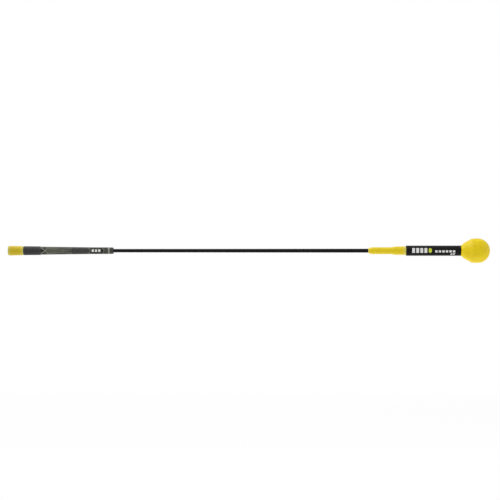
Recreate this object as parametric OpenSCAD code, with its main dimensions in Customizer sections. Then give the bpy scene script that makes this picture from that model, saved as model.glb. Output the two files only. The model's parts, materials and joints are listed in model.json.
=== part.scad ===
// Swing trainer stick: a whippy tapered fibreglass rod with a golf grip at the butt end and
// a weighted head with a soft ball at the far end.
// The stick lies along +X. The origin is the middle of the butt end face, and +Z is up.
// The rod bends as one long spring. It is cut into links at evenly spaced hinges, which
// bend up and down and sideways by turns.

/* [Butt cap] */
// Length of the cap, from the butt face to its front edge
cap_length = 38.6; // [30:0.1:45]
// Thickness of the cap's side wall at its front edge
cap_wall = 2.05; // [1.5:0.05:3]
// How much wider the cap is at the butt than at its front edge
cap_flare = 1.7; // [0:0.1:3]
// Thickness of the cap's end wall
cap_end_wall = 4; // [2:0.1:6]
// Radius of the rounded butt edge
cap_edge_r = 2.5; // [1:0.1:3]
// Diameter of the air vent in the end wall
vent_d = 3.2; // [2:0.1:5]

/* [Grip] */
// Length of the whole grip, cap and collar included
grip_length = 266.7; // [220:0.1:325]
// Length of the plain collar in front of the cap
collar_length = 42.6; // [30:0.1:55]
// Thickness of the collar at the cap
collar_back_wall = 1.95; // [1.5:0.05:3]
// Thickness of the collar at the grip body
collar_front_wall = 1.55; // [1.2:0.05:2.5]
// Width of the dark line between the cap and the collar
reveal = 1.2; // [0.5:0.1:2]
// Wall of the grip's inner tube, which carries the cap and the collar
tube_wall = 1.4; // [1:0.05:2]
// Wall of the grip body at the collar
grip_back_wall = 2.8; // [2.2:0.05:4]
// Length of the grip body's taper
grip_taper_length = 119.6; // [90:0.1:130]
// Wall of the grip body where its taper ends
grip_waist_wall = 1.65; // [1.3:0.05:3]
// Wall of the grip at its mouth
grip_mouth_wall = 0.95; // [0.6:0.05:1.2]
// Length of the rounded mouth
grip_mouth_length = 8.7; // [5:0.1:10]
// Width of the pale ring let into the grip
ring_width = 4.5; // [3:0.1:6]
// Distance from the ring's front edge to the mouth
ring_setback = 9.4; // [9.3:0.1:20]
// Depth of the groove that holds the ring
ring_depth = 0.7; // [0.5:0.05:0.9]

/* [Build-up under the grip] */
// Diameter of the build-up sleeve at the butt end
core_butt_d = 15; // [12.5:0.1:18]
// Diameter of the build-up sleeve at the mouth
core_mouth_d = 12.6; // [10.5:0.1:15]
// Distance from the butt face to the ends of the rod and the build-up sleeve
core_setback = 12; // [8:0.1:20]
// Distance from the front of the build-up sleeve to the grip's mouth
core_front_setback = 3; // [1:0.1:6]
// Thickness of the grip tape
tape_thickness = 0.25; // [0.15:0.01:0.3]

/* [Rod] */
// Diameter of the rod at the grip
rod_grip_d = 8.8; // [7:0.1:10.6]
// Diameter of the rod at the head
rod_head_d = 10; // [8:0.1:12]
// Length of the rod that is free to bend, from the grip's mouth to the neck's nose
rod_free_length = 644.3; // [400:0.1:800]
// Largest bend of a plane's first hinge, in degrees
bend_max = 8.8; // [3:0.1:12]

/* [Neck] */
// Length of the neck
neck_length = 95.7; // [78:0.1:120]
// Wall of the neck at the tip of its nose, where the rod enters
nose_wall = 1; // [0.7:0.05:1.6]
// Length of the nose
nose_length = 8.7; // [5:0.1:12]
// Wall of the slim part of the neck
neck_slim_wall = 3.65; // [3:0.05:4.6]
// Length of the thick part of the neck, which covers the weight's front spigot
neck_thick_length = 29.8; // [26:0.1:36]
// Length of the shoulder between the slim and the thick part
neck_shoulder_length = 6.3; // [3:0.1:9]
// Wall of the thick part at the shoulder
neck_thick_wall = 3.1; // [2.6:0.05:4]
// Wall of the neck at its back edge
neck_back_wall = 3.6; // [3:0.05:4.5]

/* [Weight and sleeve] */
// Length of the black sleeve
sleeve_length = 138.5; // [110:0.1:180]
// Outer diameter of the sleeve
sleeve_d = 26; // [24.8:0.1:31]
// Wall thickness of the sleeve
sleeve_wall = 0.85; // [0.6:0.05:1.2]
// How far the neck covers the lip that the sleeve turns in over the weight's end
lip_cover = 1.75; // [1:0.05:2.5]
// Wall of the weight's front spigot, inside the neck
front_spigot_wall = 2.2; // [1.8:0.05:3]
// Length of the front spigot
front_spigot_length = 24; // [15:0.1:25]
// Wall of the weight's tail between its barbs
tail_wall = 2.45; // [2:0.05:4]
// Height of the barbs that hold the ball
barb_height = 1.2; // [0.5:0.1:2]
// Length of the tail inside the ball
tail_length = 35; // [25:0.1:42]
// Diameter of the cross pins
pin_d = 3; // [2:0.1:4]
// Distance from each end of the weight to its cross pin
pin_setback = 20; // [10:0.1:40]

/* [Ball] */
// Diameter of the ball
ball_d = 62.2; // [54:0.1:74]
// Distance from the ball's face at the sleeve to the ball's middle
ball_middle = 42.6; // [38:0.1:50]
// How far the short collar at the ball's face stands out round the sleeve
ball_collar_step = 1.2; // [0.8:0.1:2.5]
// Length of the short collar
ball_collar_length = 3.2; // [2:0.1:6]
// How far the flare rises from the collar to the start of the cone
flare_rise = 5.2; // [2:0.1:6.5]
// Length of the flare
flare_length = 4; // [2:0.1:6]
// Distance from the crease, where the cone meets the ball, to the ball's middle
crease_setback = 15.1; // [10:0.1:20]
// How much smaller the ball's radius is at the crease than at its middle
crease_drop = 0.7; // [0.2:0.1:2]

/* [Fits] */
// Radial clearance of a bonded or pressed joint
bond_clearance = 0.05; // [0.02:0.01:0.1]
// End clearance between pieces of the same body
end_clearance = 0.3; // [0.1:0.05:0.5]
// Clearance at a hinge between two links at their largest bend
hinge_clearance = 0.3; // [0.2:0.05:0.6]

/* [Hidden] */
$fn = 96;
// The rod's hinges: half of them bend it up and down, and half sideways
hinges_per_plane = 6;
hinge_count = 2 * hinges_per_plane;
link_count = hinge_count - 1;
// Barbs on the weight's tail
barb_count = 4;
// How much the grip narrows between its waist and its mouth
grip_front_taper = 0.2;
// Where the grip's rounded mouth turns: a share of its length, and of its narrowing left there
mouth_turn_place = 0.65;
mouth_turn_left = 0.6;
// How far the pale ring stands out of its groove
ring_proud = 0.1;
// Where the head's weight acts, as a share of the sleeve's length
head_mass_share = 0.6;
// Broken edges
chamfer = 0.6;
rod_end_chamfer = 1;
pin_chamfer = 0.4;

// Places along the stick
collar_x = cap_length + reveal;
grip_body_x = collar_x + collar_length;
grip_waist_x = grip_body_x + grip_taper_length;
grip_mouth_x = grip_length - grip_mouth_length;
ring_end_x = grip_length - ring_setback;
ring_x = ring_end_x - ring_width;
core_end_x = grip_length - core_front_setback;
tube_x = cap_end_wall + end_clearance;
neck_x = grip_length + rod_free_length;
sleeve_x = neck_x + neck_length;
sleeve_end_x = sleeve_x + sleeve_length;
weight_x = sleeve_x + sleeve_wall;
weight_end_x = sleeve_end_x - sleeve_wall;
front_spigot_x = weight_x - front_spigot_length;
tail_end_x = weight_end_x + tail_length;
rod_end_x = tail_end_x + end_clearance + rod_end_chamfer;
ball_x = sleeve_end_x + end_clearance;
ball_centre_x = ball_x + ball_middle;
cone_x = ball_x + ball_collar_length + flare_length;
crease_x = ball_centre_x - crease_setback;

// Sizes that follow from a neighbour
rod_bore_head_d = rod_head_d + 2 * bond_clearance;
weight_d = sleeve_d - 2 * sleeve_wall - 2 * bond_clearance;
pin_length = weight_d - 2 * pin_chamfer;
pin_bore_d = pin_d + 2 * bond_clearance;
front_spigot_d = rod_bore_head_d + 2 * front_spigot_wall;
tail_d = rod_bore_head_d + 2 * tail_wall;
nose_d = rod_bore_head_d + 2 * nose_wall;
neck_slim_d = rod_bore_head_d + 2 * neck_slim_wall;
neck_socket_d = front_spigot_d + 2 * bond_clearance;
neck_thick_d = neck_socket_d + 2 * neck_thick_wall;
neck_back_d = neck_socket_d + 2 * neck_back_wall;
ball_collar_d = sleeve_d + 2 * ball_collar_step;
cone_front_d = ball_collar_d + 2 * flare_rise;
crease_d = ball_d - 2 * crease_drop;
// Between the crease and its middle the ball follows a long ellipse with this half-length
ball_back_length = crease_setback / sqrt(1 - pow(crease_d / ball_d, 2));
head_mass_x = sleeve_x + head_mass_share * sleeve_length;

// Diameter of the rod at a place along the free length
function rod_d(x) = rod_grip_d + (rod_head_d - rod_grip_d) * (x - grip_length) / rod_free_length;

// Diameter of the build-up sleeve at a place inside the grip
function core_d(x) =
    core_butt_d + (core_mouth_d - core_butt_d) * (x - core_setback) / (core_end_x - core_setback);

// Diameter of the outside of the tape at a place inside the grip
function tape_d(x) = core_d(x) + 2 * (bond_clearance + tape_thickness);

// Diameter of the grip's bore, which sits on the tape
function grip_bore_d(x) = tape_d(x) + 2 * bond_clearance;

tube_d = grip_bore_d(tube_x) + 2 * tube_wall;
cap_bore_d = tube_d + 2 * bond_clearance;
cap_front_d = cap_bore_d + 2 * cap_wall;
cap_butt_d = cap_front_d + cap_flare;
collar_back_d = cap_bore_d + 2 * collar_back_wall;
collar_front_d = cap_bore_d + 2 * collar_front_wall;
grip_back_d = grip_bore_d(grip_body_x) + 2 * grip_back_wall;
grip_waist_d = grip_bore_d(grip_waist_x) + 2 * grip_waist_wall;
grip_mouth_d = grip_bore_d(grip_length) + 2 * grip_mouth_wall;

// Diameter of the grip body's outside between its waist and its mouth
function grip_front_d(x) =
    grip_waist_d - grip_front_taper * (x - grip_waist_x) / (grip_mouth_x - grip_waist_x);

// Place of a hinge: they stand evenly along the free length
function hinge_x(i) = grip_length + rod_free_length * (i - 0.5) / hinge_count;

// How far a hinge bends: a loaded rod curves with the load's lever over the section's stiffness
function bend_weight(i) = (head_mass_x - hinge_x(i)) / pow(rod_d(hinge_x(i)), 4);

// A hinge's bend as a share of the first one in its plane. Odd hinges bend up and down,
// and even hinges bend sideways.
function bend_share(i) = bend_weight(i) / bend_weight(i % 2 == 1 ? 1 : 2);

// Width of the slit at a hinge, so that the links clear each other at the largest bend
function slit(i) = hinge_clearance + rod_d(hinge_x(i)) * tan(bend_share(i) * bend_max / 2);

function link_name(i) = str("rod_link_", i < 10 ? "0" : "", i);

// Turns an outline of [radius, x] points about the stick's axis
module lathe() {
    rotate([0, 90, 0])
        rotate_extrude()
            children();
}

// A straight round bar or cone on the stick's axis
module bar(x, x_end, d, d_end) {
    translate([x, 0, 0])
        rotate([0, 90, 0])
            cylinder(h = x_end - x, d1 = d, d2 = d_end);
}

// Places something that is drawn on the axis at each cross pin: one upright, one level
module at_cross_pins() {
    translate([weight_x + pin_setback, 0, 0])
        children();
    translate([weight_end_x - pin_setback, 0, 0])
        rotate([90, 0, 0])
            children();
}

module pin_bores() {
    at_cross_pins()
        cylinder(h = sleeve_d, d = pin_bore_d, center = true);
}

// Yellow cup over the butt of the grip, with a vent in its end wall
module butt_cap() {
    edge_centre = cap_butt_d / 2 - cap_edge_r;
    color("goldenrod")
        lathe()
            difference() {
                union() {
                    translate([edge_centre, cap_edge_r])
                        circle(r = cap_edge_r);
                    polygon([
                        [0, 0],
                        [edge_centre, 0],
                        [edge_centre, cap_edge_r],
                        [cap_butt_d / 2, cap_edge_r],
                        [cap_front_d / 2, cap_length - chamfer],
                        [cap_front_d / 2 - chamfer, cap_length],
                        [0, cap_length]
                    ]);
                }
                square([vent_d / 2, cap_length]);
                translate([0, cap_end_wall])
                    square([cap_bore_d / 2, cap_length]);
            }
}

// Plain dark ring between the cap and the grip body
module grip_collar() {
    color("dimgray")
        lathe()
            polygon([
                [cap_bore_d / 2, collar_x],
                [collar_back_d / 2 - chamfer, collar_x],
                [collar_back_d / 2, collar_x + chamfer],
                [collar_front_d / 2, grip_body_x - chamfer],
                [collar_front_d / 2 - chamfer, grip_body_x],
                [cap_bore_d / 2, grip_body_x]
            ]);
}

// Rubber grip with a tube behind it, which carries the cap and the collar
module grip_body() {
    body_x = grip_body_x + end_clearance;
    mouth_start_d = grip_front_d(grip_mouth_x);
    mouth_turn_d = grip_mouth_d + mouth_turn_left * (mouth_start_d - grip_mouth_d);
    groove_r = grip_front_d(ring_x) / 2 - ring_depth;
    color("darkslategray")
        lathe()
            difference() {
                polygon([
                    [grip_bore_d(tube_x) / 2, tube_x],
                    [tube_d / 2 - chamfer, tube_x],
                    [tube_d / 2, tube_x + chamfer],
                    [tube_d / 2, body_x],
                    [grip_back_d / 2 - chamfer, body_x],
                    [grip_back_d / 2, body_x + chamfer],
                    [grip_waist_d / 2, grip_waist_x],
                    [mouth_start_d / 2, grip_mouth_x],
                    [mouth_turn_d / 2, grip_mouth_x + mouth_turn_place * grip_mouth_length],
                    [grip_mouth_d / 2, grip_length],
                    [grip_bore_d(grip_length) / 2, grip_length]
                ]);
                translate([groove_r, ring_x])
                    square([grip_waist_d, ring_width]);
            }
}

// Pale ring let into the grip near its mouth
module grip_ring() {
    ring_r = grip_front_d(ring_x) / 2 - ring_depth + bond_clearance;
    color("silver")
        lathe()
            translate([ring_r, ring_x + bond_clearance])
                square([ring_depth + ring_proud, ring_width - 2 * bond_clearance]);
}

// Double-sided tape between the build-up sleeve and the grip
module grip_tape() {
    color("ivory")
        lathe()
            polygon([
                [core_d(core_setback) / 2 + bond_clearance, core_setback],
                [tape_d(core_setback) / 2, core_setback],
                [tape_d(core_end_x) / 2, core_end_x],
                [core_d(core_end_x) / 2 + bond_clearance, core_end_x]
            ]);
}

// Tapered plastic tube that brings the slim rod up to the grip's bore
module buildup_sleeve() {
    color("gainsboro")
        difference() {
            bar(core_setback, core_end_x, core_butt_d, core_mouth_d);
            bar(0, grip_length, rod_grip_d + 2 * bond_clearance, rod_grip_d + 2 * bond_clearance);
        }
}

// The rod inside the grip, up to the first hinge
module rod_butt() {
    end_x = hinge_x(1) - slit(1) / 2;
    color("black")
        lathe()
            polygon([
                [0, core_setback],
                [rod_grip_d / 2 - rod_end_chamfer, core_setback],
                [rod_grip_d / 2, core_setback + rod_end_chamfer],
                [rod_grip_d / 2, grip_length],
                [rod_d(end_x) / 2, end_x],
                [0, end_x]
            ]);
}

// One link of the rod, from its hinge to the next
module rod_link(i) {
    start_x = hinge_x(i) + slit(i) / 2;
    end_x = hinge_x(i + 1) - slit(i + 1) / 2;
    color("black")
        bar(start_x, end_x, rod_d(start_x), rod_d(end_x));
}

// The rod from the last hinge, through the neck and the weight and into the ball
module rod_tip() {
    start_x = hinge_x(hinge_count) + slit(hinge_count) / 2;
    color("black")
        difference() {
            lathe()
                polygon([
                    [0, start_x],
                    [rod_d(start_x) / 2, start_x],
                    [rod_head_d / 2, neck_x],
                    [rod_head_d / 2, rod_end_x - rod_end_chamfer],
                    [rod_head_d / 2 - rod_end_chamfer, rod_end_x],
                    [0, rod_end_x]
                ]);
            pin_bores();
        }
}

// Yellow neck: it steps up where it covers the weight's front spigot
module neck() {
    thick_x = sleeve_x - neck_thick_length;
    socket_x = front_spigot_x - end_clearance;
    color("gold")
        lathe()
            polygon([
                [rod_bore_head_d / 2, neck_x],
                [nose_d / 2, neck_x],
                [neck_slim_d / 2, neck_x + nose_length],
                [neck_slim_d / 2, thick_x - neck_shoulder_length],
                [neck_thick_d / 2, thick_x],
                [neck_back_d / 2, sleeve_x - chamfer],
                [neck_back_d / 2 - chamfer, sleeve_x],
                [neck_socket_d / 2, sleeve_x],
                [neck_socket_d / 2, socket_x],
                [rod_bore_head_d / 2, socket_x]
            ]);
}

// Outline of the weight's barbed tail, or of the ball's cavity round it when given a clearance
module tail_outline(clearance) {
    pitch = tail_length / barb_count;
    square([tail_d / 2 + clearance, tail_length + clearance]);
    for (i = [1:barb_count])
        translate([0, i * pitch])
            polygon([
                [0, -pitch / 2 - clearance],
                [tail_d / 2 + barb_height + clearance, -pitch / 2 - clearance],
                [tail_d / 2 + barb_height + clearance, -pitch / 4 + clearance],
                [tail_d / 2 + clearance, clearance],
                [0, clearance]
            ]);
}

// Steel tube that loads the head, with a spigot in front and a barbed tail behind
module weight() {
    color("slategray")
        difference() {
            lathe()
                union() {
                    polygon([
                        [0, front_spigot_x],
                        [front_spigot_d / 2 - chamfer, front_spigot_x],
                        [front_spigot_d / 2, front_spigot_x + chamfer],
                        [front_spigot_d / 2, weight_x],
                        [weight_d / 2 - chamfer, weight_x],
                        [weight_d / 2, weight_x + chamfer],
                        [weight_d / 2, weight_end_x - chamfer],
                        [weight_d / 2 - chamfer, weight_end_x],
                        [0, weight_end_x]
                    ]);
                    translate([0, weight_end_x])
                        tail_outline(0);
                }
            bar(front_spigot_x - 1, tail_end_x + 1, rod_bore_head_d, rod_bore_head_d);
            pin_bores();
        }
}

// Two spring pins that lock the weight to the rod
module cross_pins() {
    color("silver")
        at_cross_pins()
            rotate_extrude()
                polygon([
                    [0, -pin_length / 2],
                    [pin_d / 2 - pin_chamfer, -pin_length / 2],
                    [pin_d / 2, pin_chamfer - pin_length / 2],
                    [pin_d / 2, pin_length / 2 - pin_chamfer],
                    [pin_d / 2 - pin_chamfer, pin_length / 2],
                    [0, pin_length / 2]
                ]);
}

// Black sleeve shrunk over the weight, with lips that turn in over its ends
module sleeve() {
    wall_r = weight_d / 2 + bond_clearance;
    lip_r = neck_back_d / 2 - lip_cover;
    lip_wall = sleeve_wall - bond_clearance;
    round_r = sleeve_wall;
    color("black")
        lathe()
            difference() {
                union() {
                    for (x = [sleeve_x + round_r, sleeve_end_x - round_r])
                        translate([sleeve_d / 2 - round_r, x])
                            circle(r = round_r);
                    translate([lip_r, sleeve_x])
                        square([sleeve_d / 2 - round_r - lip_r, sleeve_length]);
                    translate([lip_r, sleeve_x + round_r])
                        square([sleeve_d / 2 - lip_r, sleeve_length - 2 * round_r]);
                }
                translate([0, sleeve_x + lip_wall])
                    square([wall_r, sleeve_length - 2 * lip_wall]);
            }
}

// Soft ball with a cone in front and a hollow for the barbed tail and the rod's end
module ball() {
    color("yellow")
        lathe()
            difference() {
                union() {
                    polygon([
                        [0, ball_x],
                        [ball_collar_d / 2 - chamfer, ball_x],
                        [ball_collar_d / 2, ball_x + chamfer],
                        [ball_collar_d / 2, ball_x + ball_collar_length],
                        [cone_front_d / 2, cone_x],
                        [crease_d / 2, crease_x],
                        [0, crease_x]
                    ]);
                    intersection() {
                        translate([0, ball_centre_x])
                            scale([1, 2 * ball_back_length / ball_d])
                                circle(d = ball_d, $fn = 384);
                        translate([0, crease_x])
                            square([ball_d, crease_setback]);
                    }
                    intersection() {
                        translate([0, ball_centre_x])
                            circle(d = ball_d);
                        translate([0, ball_centre_x])
                            square(ball_d);
                    }
                }
                translate([0, weight_end_x])
                    tail_outline(bond_clearance);
                square([rod_bore_head_d / 2, rod_end_x + end_clearance]);
            }
}

butt_cap();
grip_collar();
grip_body();
grip_ring();
grip_tape();
buildup_sleeve();
rod_butt();
for (i = [1:link_count])
    rod_link(i);
rod_tip();
neck();
weight();
cross_pins();
sleeve();
ball();
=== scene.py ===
"""Looks of the swing trainer stick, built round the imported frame.

The stick lies along +X with its butt face at the origin, and +Z is up. Sizes are in millimetres
while a piece is modelled, and settle() turns the finished mesh to metres. Places along the stick
come from the frame's nodes. Angles round the stick are in degrees: 0 faces -Y and 90 is the top.
"""

import json
import logging
import math
from abc import ABC, abstractmethod
from collections.abc import Callable, Iterable, Iterator, Sequence
from dataclasses import dataclass, field
from enum import Enum, IntEnum
from typing import Any

import bmesh
import bpy
from mathutils import Matrix, Vector

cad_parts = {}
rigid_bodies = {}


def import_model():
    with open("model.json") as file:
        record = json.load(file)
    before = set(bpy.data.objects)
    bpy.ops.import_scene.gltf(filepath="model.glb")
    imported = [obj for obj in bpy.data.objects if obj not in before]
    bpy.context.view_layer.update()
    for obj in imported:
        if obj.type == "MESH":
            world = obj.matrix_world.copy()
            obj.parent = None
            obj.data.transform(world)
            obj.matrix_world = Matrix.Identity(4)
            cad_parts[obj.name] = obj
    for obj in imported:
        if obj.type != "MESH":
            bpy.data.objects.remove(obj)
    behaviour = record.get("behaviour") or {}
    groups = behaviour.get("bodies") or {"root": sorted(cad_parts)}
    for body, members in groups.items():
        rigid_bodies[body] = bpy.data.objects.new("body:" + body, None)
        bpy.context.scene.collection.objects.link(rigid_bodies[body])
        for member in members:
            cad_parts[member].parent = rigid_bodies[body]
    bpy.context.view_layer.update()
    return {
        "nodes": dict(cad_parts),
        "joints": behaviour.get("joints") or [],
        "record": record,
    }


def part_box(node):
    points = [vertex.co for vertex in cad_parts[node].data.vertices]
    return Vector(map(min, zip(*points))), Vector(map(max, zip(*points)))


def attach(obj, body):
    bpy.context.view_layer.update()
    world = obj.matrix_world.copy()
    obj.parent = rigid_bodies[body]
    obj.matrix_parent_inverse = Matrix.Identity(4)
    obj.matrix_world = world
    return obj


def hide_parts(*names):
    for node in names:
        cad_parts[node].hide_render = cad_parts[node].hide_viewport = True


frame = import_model()

BMesh = bmesh.types.BMesh
BMFace = bmesh.types.BMFace
Material = bpy.types.Material
NodeTree = bpy.types.NodeTree
Object = bpy.types.Object
Socket = bpy.types.NodeSocket

MM = 0.001
# Edges that turn more than this stay crisp
SHARP_ANGLE = math.radians(34.0)
# Two points nearer than this, in millimetres, are one point
WELD = 0.0005
# A vertex this near to a station, in millimetres, belongs to it
NEAR = 0.02
# A cut this near to a vertex, in millimetres, goes through the vertex
SNAP = 0.01
# A side of a patch may cross a face whose corners all lie this far off, in millimetres
CUT_MARGIN = 6.0
# Flats round a turned piece
TURN_STEPS = 96
ROD_STEPS = 48
# Flats that a rounded edge is made of
ROUND_SEGMENTS = 4
# A moulded edge that is only just broken is rounded by this much, in millimetres
FINE_ROUNDING = 0.15
# The cap's vent and the step behind the neck's nose are rounded by this much, in millimetres
SOFT_ROUNDING = 0.3
# The Wave texture at scale 1 has this wavelength
WAVE = math.pi / 10
# Nearly all of the patches' noise lies in this span, over which the gloss varies
GLOSS_SPAN = (0.3, 0.7)
# The colour drifts over this span of the same noise
DRIFT_SPAN = (0.35, 0.7)

log = logging.getLogger("swing_trainer_stick")


# ---------------------------------------------------------------- places from the frame


@dataclass(frozen=True)
class Reach:
    """Where a CAD node lies along the stick, in millimetres."""

    start: float
    end: float
    radius: float

    def edges(self, start_fade: float, end_fade: float) -> tuple[tuple[float, float], ...]:
        """Pairs each end's place with how far its wear fades."""
        return ((self.start, start_fade), (self.end, end_fade))


def reach(node: str) -> Reach:
    """Reads a node's place from the frame.

    Args:
        node: Name of a CAD node.

    Returns:
        Its two ends along the stick and its largest radius.
    """
    low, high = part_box(node)
    return Reach(low.x / MM, high.x / MM, high.z / MM)


def cad_radius(node: str, x: float, within: float = 0.3) -> float:
    """Reads a round CAD node's outer radius at one of its corners.

    Args:
        node: Name of a CAD node.
        x: Place of the corner along the stick.
        within: How far from x the corner may lie.

    Returns:
        The largest radius found there, in millimetres.
    """
    corners = (v.co / MM for v in frame["nodes"][node].data.vertices)
    return max(math.hypot(c.y, c.z) for c in corners if abs(c.x - x) < within)


# ---------------------------------------------------------------- colour and nodes


def srgb(code: str) -> tuple[float, float, float, float]:
    """Turns an sRGB hex colour to the linear values that shaders read.

    Args:
        code: Six hex digits.

    Returns:
        Linear red, green and blue, and an alpha of 1.
    """
    shares = [int(code[i:i + 2], 16) / 255 for i in (0, 2, 4)]
    linear = [s / 12.92 if s <= 0.04045 else ((s + 0.055) / 1.055) ** 2.4 for s in shares]
    return (*linear, 1.0)


def per_metre(size: float) -> float:
    """Turns a pattern's size in millimetres to a texture scale on Object coordinates."""
    return 1.0 / (size * MM)


def add_node(
    tree: NodeTree, kind: str, inputs: dict[str | int, Any] | None = None, **settings: Any
) -> bpy.types.Node:
    """Adds one node with its settings and its inputs.

    Args:
        tree: Node tree that gets the node.
        kind: Blender's name for the node.
        inputs: The value, or the socket to link, for each input by its name or place.
        **settings: The node's own properties.

    Returns:
        The new node.
    """
    node = tree.nodes.new(kind)
    for name, value in settings.items():
        setattr(node, name, value)
    for key, value in (inputs or {}).items():
        if isinstance(value, Socket):
            tree.links.new(value, node.inputs[key])
        else:
            node.inputs[key].default_value = value
    return node


class MixSocket(IntEnum):
    """Places of the Mix node's sockets for colours."""

    FACTOR = 0
    A = 6
    B = 7
    RESULT = 2


class RangeSocket(IntEnum):
    """Places of the Map Range node's inputs."""

    VALUE = 0
    FROM_MIN = 1
    FROM_MAX = 2
    TO_MIN = 3
    TO_MAX = 4


@dataclass(frozen=True)
class Finish:
    """A moulded surface: a colour that drifts a little, a fine grain, and a gloss that varies.

    Attributes:
        name: The real material and how its surface was made.
        colour: Main colour, as sRGB hex.
        drift: Colour that it drifts towards, as sRGB hex.
        patch: Size of the drift's patches, in millimetres.
        grain: Size of the surface grain, in millimetres.
        relief: Height of the grain, in millimetres.
        smooth: Roughness of the glossiest spots.
        dull: Roughness of the dullest spots.
        ior: Index of refraction, which a metal leaves alone.
        metallic: 1 for a metal.
        shine: Strength of the mirrored light, where 0.5 is what the index of refraction gives.
    """

    name: str
    colour: str
    drift: str
    patch: float
    grain: float
    relief: float
    smooth: float
    dull: float
    ior: float = 1.5
    metallic: float = 0.0
    shine: float = 0.5

    def build(self) -> Material:
        """Builds the material.

        Returns:
            The material, ready to go on a piece.
        """
        material = bpy.data.materials.new(self.name)
        material.use_nodes = True
        tree = material.node_tree
        tree.nodes.clear()
        place = self.place(tree)
        patches = add_node(
            tree,
            "ShaderNodeTexNoise",
            {"Vector": place, "Scale": per_metre(self.patch), "Detail": 4.0, "Roughness": 0.6},
        ).outputs["Fac"]
        roughness = add_node(
            tree,
            "ShaderNodeMapRange",
            {
                RangeSocket.VALUE: patches,
                RangeSocket.FROM_MIN: GLOSS_SPAN[0],
                RangeSocket.FROM_MAX: GLOSS_SPAN[1],
                RangeSocket.TO_MIN: self.smooth,
                RangeSocket.TO_MAX: self.dull,
            },
        ).outputs["Result"]
        bump = add_node(
            tree,
            "ShaderNodeBump",
            {"Height": self.height(tree, place), "Strength": 1.0, "Distance": self.relief * MM},
        ).outputs["Normal"]
        shader = add_node(
            tree,
            "ShaderNodeBsdfPrincipled",
            {
                "Base Color": self.paint(tree, place, patches),
                "Roughness": roughness,
                "Metallic": self.metallic,
                "Normal": bump,
            },
        )
        if not self.metallic:
            shader.inputs["IOR"].default_value = self.ior
            shader.inputs["Specular IOR Level"].default_value = self.shine
        add_node(tree, "ShaderNodeOutputMaterial", {"Surface": shader.outputs["BSDF"]})
        return material

    def place(self, tree: NodeTree) -> Socket:
        """Adds the coordinates that the patterns read."""
        return add_node(tree, "ShaderNodeTexCoord").outputs["Object"]

    def paint(self, tree: NodeTree, place: Socket, patches: Socket) -> Socket:
        """Mixes the colour.

        Args:
            tree: The material's node tree.
            place: The pattern's coordinates.
            patches: Noise from 0 to 1 in the drift's patches.

        Returns:
            The colour socket.
        """
        share = add_node(
            tree,
            "ShaderNodeMapRange",
            {
                RangeSocket.VALUE: patches,
                RangeSocket.FROM_MIN: DRIFT_SPAN[0],
                RangeSocket.FROM_MAX: DRIFT_SPAN[1],
            },
        ).outputs["Result"]
        return self.mix(tree, share, srgb(self.colour), srgb(self.drift))

    def mix(self, tree: NodeTree, share: Socket, first: Any, second: Any) -> Socket:
        """Mixes two colours.

        Args:
            tree: The material's node tree.
            share: How much of the second colour shows, from 0 to 1.
            first: A colour or a colour socket.
            second: A colour or a colour socket.

        Returns:
            The mixed colour's socket.
        """
        inputs = {MixSocket.FACTOR: share, MixSocket.A: first, MixSocket.B: second}
        node = add_node(tree, "ShaderNodeMix", inputs, data_type="RGBA")
        return node.outputs[MixSocket.RESULT]

    def height(self, tree: NodeTree, place: Socket) -> Socket:
        """Makes the grain's height.

        Args:
            tree: The material's node tree.
            place: The pattern's coordinates.

        Returns:
            The height socket, from 0 to 1.
        """
        return add_node(
            tree,
            "ShaderNodeTexNoise",
            {"Vector": place, "Scale": per_metre(self.grain), "Detail": 2.0},
        ).outputs["Fac"]


@dataclass(frozen=True)
class PaleEdgeFinish(Finish):
    """A moulded surface that is painted paler, in patches, towards each edge.

    Attributes:
        pale_edge: Colour painted at the edges, as sRGB hex.
        edges: Each edge's place along the stick and how far its paler colour reaches, in
            millimetres.
    """

    pale_edge: str = "ffffff"
    edges: tuple[tuple[float, float], ...] = ()

    def paint(self, tree: NodeTree, place: Socket, patches: Socket) -> Socket:
        """Mixes the colour and paints it paler towards each edge. See Finish.paint."""
        colour = super().paint(tree, place, patches)
        along = add_node(tree, "ShaderNodeSeparateXYZ", {"Vector": place}).outputs["X"]
        for edge, fade in self.edges:
            away = add_node(
                tree, "ShaderNodeMath", {0: along, 1: edge * MM}, operation="SUBTRACT"
            ).outputs[0]
            distance = add_node(tree, "ShaderNodeMath", {0: away}, operation="ABSOLUTE").outputs[0]
            near = add_node(
                tree,
                "ShaderNodeMapRange",
                {
                    RangeSocket.VALUE: distance,
                    RangeSocket.FROM_MAX: fade * MM,
                    RangeSocket.TO_MIN: 1.0,
                    RangeSocket.TO_MAX: 0.0,
                },
                interpolation_type="SMOOTHSTEP",
            ).outputs["Result"]
            share = add_node(
                tree, "ShaderNodeMath", {0: near, 1: patches}, operation="MULTIPLY"
            ).outputs[0]
            colour = self.mix(tree, share, colour, srgb(self.pale_edge))
        return colour


@dataclass(frozen=True)
class GradedFinish(Finish):
    """A moulded surface whose colour changes from one end of a piece to the other.

    Attributes:
        far: Colour past the change, as sRGB hex.
        change: Where the change starts and ends along the stick, in millimetres.
    """

    far: str = "000000"
    change: tuple[float, float] = (0.0, 1.0)

    def paint(self, tree: NodeTree, place: Socket, patches: Socket) -> Socket:
        """Mixes the near and the far colour by the place along the stick. See Finish.paint."""
        near = super().paint(tree, place, patches)
        along = add_node(tree, "ShaderNodeSeparateXYZ", {"Vector": place}).outputs["X"]
        share = add_node(
            tree,
            "ShaderNodeMapRange",
            {
                RangeSocket.VALUE: along,
                RangeSocket.FROM_MIN: self.change[0] * MM,
                RangeSocket.FROM_MAX: self.change[1] * MM,
            },
        ).outputs["Result"]
        return self.mix(tree, share, near, srgb(self.far))


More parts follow.
